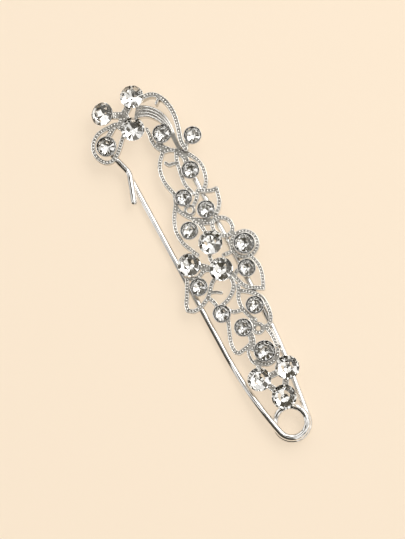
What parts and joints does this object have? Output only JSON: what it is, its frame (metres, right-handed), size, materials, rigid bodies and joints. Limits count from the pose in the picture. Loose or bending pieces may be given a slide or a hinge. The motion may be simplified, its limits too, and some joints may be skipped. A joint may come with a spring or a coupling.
{
  "type": "safety pin brooch",
  "caption": "Large safety pin brooch: a coiled wire with a hinged pin arm and a catch, carrying an openwork vine of metal strands set with clear round stones.",
  "frame": {"origin": "the coil's axis, on the surface that the two wires lie on", "axes": "+X from the coil to the head, parallel to the pin arm's straight shaft; +Z out of the stone side; +Y to the pin arm's side"},
  "size_m": [0.0745, 0.0202, 0.0056],
  "materials": {
    "wire": "polished",
    "casting": "bright plated",
    "setting": "bright plated",
    "stone": "faceted, foiled back"
  },
  "bodies": {
    "frame": {"back_bar": "wire", "catch_hook": "wire", "head_frame": "casting", "crook_strand": "casting", "crook_ribbon": "casting", "upper_vine": "casting", "right_leaf": "casting", "middle_vine": "casting", "scroll_ring": "casting", "side_leaf": "casting", "left_leaf": "casting", "lower_vine": "casting", "tail_frame": "casting", "stone_head_top": "stone", "stone_head_left": "stone", "stone_head_inner": "stone", "stone_loop": "stone", "stone_crook": "stone", "stone_stem": "stone", "stone_upper_right": "stone", "stone_upper_left": "stone", "stone_middle_right": "stone", "stone_middle_left": "stone", "stone_cluster_top": "stone", "stone_cluster_left": "stone", "stone_cluster_right": "stone", "stone_scroll": "stone", "stone_side_leaf": "stone", "stone_left_leaf": "stone", "stone_lower_left": "stone", "stone_lower_right": "stone", "stone_lower_mid": "stone", "stone_tail_ring": "stone", "stone_tail_left": "stone", "stone_tail_right": "stone", "stone_tail_end": "stone", "cup_head_top": "setting", "cup_head_left": "setting", "cup_head_inner": "setting", "cup_loop": "setting", "cup_crook": "setting", "cup_stem": "setting", "cup_upper_right": "setting", "cup_upper_left": "setting", "cup_middle_right": "setting", "cup_middle_left": "setting", "cup_cluster_top": "setting", "cup_cluster_left": "setting", "cup_cluster_right": "setting", "cup_scroll": "setting", "cup_side_leaf": "setting", "cup_left_leaf": "setting", "cup_lower_left": "setting", "cup_lower_right": "setting", "cup_lower_mid": "setting", "cup_tail_ring": "setting", "cup_tail_left": "setting", "cup_tail_right": "setting", "cup_tail_end": "setting"},
    "arm": {"pin_arm": "wire"}
  },
  "joints": [
    {"name": "pin_swing", "type": "hinge", "parent": "frame", "child": "arm", "pos_m": [0, 0, 0.00135], "axis": [0, 0, 1], "range_deg": [0, 20]}
  ]
}
